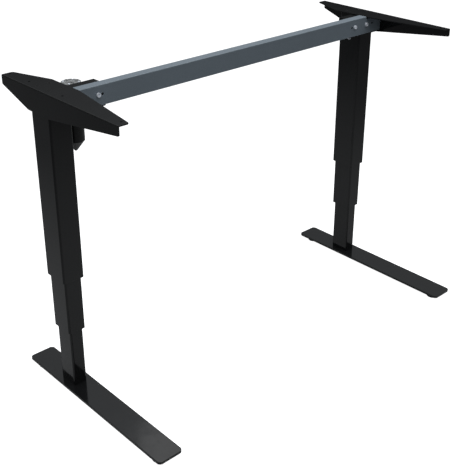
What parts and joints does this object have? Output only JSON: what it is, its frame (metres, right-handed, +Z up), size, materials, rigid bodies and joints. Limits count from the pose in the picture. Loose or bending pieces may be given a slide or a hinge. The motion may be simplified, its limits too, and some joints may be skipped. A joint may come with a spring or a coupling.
{
  "type": "standing desk frame",
  "caption": "Height adjustable desk frame: telescopic columns on flat feet, folded top brackets, and a crossbar with a motor drive beside one column",
  "frame": {"origin": "on the floor, in the middle of the frame's footprint", "axes": "+Z up, +X along the crossbar towards the column without a motor, -Y towards the long ends of the feet"},
  "size_m": [1.408, 0.7, 1.005],
  "materials": {
    "powder_coat": "semi-gloss powder coat",
    "crossbar_paint": "semi-gloss paint, dark blue grey",
    "bolt_steel": "zinc plated",
    "black_screws": "black oxide",
    "glide_rubber": "matt",
    "guide_plastic": "moulded, matt",
    "cast_alloy": "as cast",
    "spindle_steel": "turned, greased",
    "gear_steel": "machined",
    "nut_brass": "machined",
    "gearbox_alloy": "die cast, bare",
    "motor_plastic": "moulded",
    "motor_paint": "semi-gloss paint, black"
  },
  "bodies": {
    "left_base": {"left_foot_plate": "powder_coat", "left_foot_screws": "black_screws", "left_floor_glides": "glide_rubber", "left_base_plug": "cast_alloy", "left_inner_tube": "powder_coat", "left_inner_top_guide": "guide_plastic", "left_lower_nut": "nut_brass"},
    "left_middle_stage": {"left_mid_tube": "powder_coat", "left_mid_collar": "guide_plastic", "left_mid_top_guide": "guide_plastic"},
    "left_hollow_spindle": {"left_lower_spindle": "spindle_steel", "left_upper_nut": "nut_brass"},
    "left_drive_spindle": {"left_upper_spindle": "spindle_steel", "left_spindle_bevel": "gear_steel"},
    "right_base": {"right_foot_plate": "powder_coat", "right_foot_screws": "black_screws", "right_floor_glides": "glide_rubber", "right_base_plug": "cast_alloy", "right_inner_tube": "powder_coat", "right_inner_top_guide": "guide_plastic", "right_lower_nut": "nut_brass"},
    "right_middle_stage": {"right_mid_tube": "powder_coat", "right_mid_collar": "guide_plastic", "right_mid_top_guide": "guide_plastic"},
    "right_hollow_spindle": {"right_lower_spindle": "spindle_steel", "right_upper_nut": "nut_brass"},
    "right_drive_spindle": {"right_upper_spindle": "spindle_steel", "right_spindle_bevel": "gear_steel"},
    "top_frame": {"left_outer_tube": "powder_coat", "left_outer_collar": "guide_plastic", "left_shaft_bush": "guide_plastic", "left_gear_head": "cast_alloy", "left_top_bracket": "powder_coat", "left_crossbar_channel": "powder_coat", "right_outer_tube": "powder_coat", "right_outer_collar": "guide_plastic", "right_shaft_bush": "guide_plastic", "right_gear_head": "cast_alloy", "right_top_bracket": "powder_coat", "right_crossbar_channel": "powder_coat", "crossbar": "crossbar_paint", "crossbar_bolts": "bolt_steel", "crossbar_lower_screws": "bolt_steel", "bracket_screws": "black_screws", "gearbox_housing": "gearbox_alloy", "gearbox_cover": "gearbox_alloy", "gearbox_cover_screws": "bolt_steel", "gearbox_mounting_screws": "black_screws", "motor_can": "motor_paint", "motor_end_cone": "motor_plastic", "cable_socket": "motor_plastic"},
    "shaft_line": {"cross_shaft": "spindle_steel", "left_shaft_bevel": "gear_steel", "right_shaft_bevel": "gear_steel", "worm_wheel": "nut_brass"},
    "motor_armature": {"motor_rotor": "spindle_steel", "motor_worm": "gear_steel"}
  },
  "joints": [
    {"name": "lift", "type": "slide", "parent": "left_base", "child": "top_frame", "axis": [0, 0, 1], "range_m": [-0.35, 0.3]},
    {"name": "left_middle_slide", "type": "slide", "parent": "left_base", "child": "left_middle_stage", "axis": [0, 0, 1], "range_m": [-0.175, 0.15]},
    {"name": "right_middle_slide", "type": "slide", "parent": "top_frame", "child": "right_middle_stage", "axis": [0, 0, -1], "range_m": [-0.175, 0.15]},
    {"name": "right_base_slide", "type": "slide", "parent": "top_frame", "child": "right_base", "axis": [0, 0, -1], "range_m": [-0.35, 0.3]},
    {"name": "shaft_turn", "type": "hinge", "parent": "top_frame", "child": "shaft_line", "pos_m": [0, 0.148, 0.966], "axis": [1, 0, 0], "range_deg": [-7877, 6752]},
    {"name": "motor_turn", "type": "hinge", "parent": "top_frame", "child": "motor_armature", "pos_m": [-0.578, 0.165, 0.9], "axis": [0, 0, 1], "range_deg": [-31502, 27002]},
    {"name": "left_spindle_turn", "type": "hinge", "parent": "top_frame", "child": "left_drive_spindle", "pos_m": [-0.66, 0.148, 0.75], "axis": [0, 0, -1], "range_deg": [-7877, 6752]},
    {"name": "left_hollow_spindle_turn", "type": "hinge", "parent": "left_middle_stage", "child": "left_hollow_spindle", "pos_m": [-0.66, 0.148, 0.5], "axis": [0, 0, -1], "range_deg": [-3939, 3377]},
    {"name": "right_spindle_turn", "type": "hinge", "parent": "top_frame", "child": "right_drive_spindle", "pos_m": [0.66, 0.148, 0.75], "axis": [0, 0, 1], "range_deg": [-7877, 6752]},
    {"name": "right_hollow_spindle_turn", "type": "hinge", "parent": "right_middle_stage", "child": "right_hollow_spindle", "pos_m": [0.66, 0.148, 0.5], "axis": [0, 0, 1], "range_deg": [-3939, 3377]}
  ],
  "couplings": [
    {"joint": "left_middle_slide", "follows": "lift", "ratio": 0.5},
    {"joint": "right_middle_slide", "follows": "lift", "ratio": 0.5},
    {"joint": "right_base_slide", "follows": "lift", "ratio": 1},
    {"joint": "shaft_turn", "follows": "lift", "rad_per_m": 392.7},
    {"joint": "motor_turn", "follows": "lift", "rad_per_m": 1570.8},
    {"joint": "left_spindle_turn", "follows": "lift", "rad_per_m": 392.7},
    {"joint": "left_hollow_spindle_turn", "follows": "lift", "rad_per_m": 196.35},
    {"joint": "right_spindle_turn", "follows": "lift", "rad_per_m": 392.7},
    {"joint": "right_hollow_spindle_turn", "follows": "lift", "rad_per_m": 196.35}
  ]
}
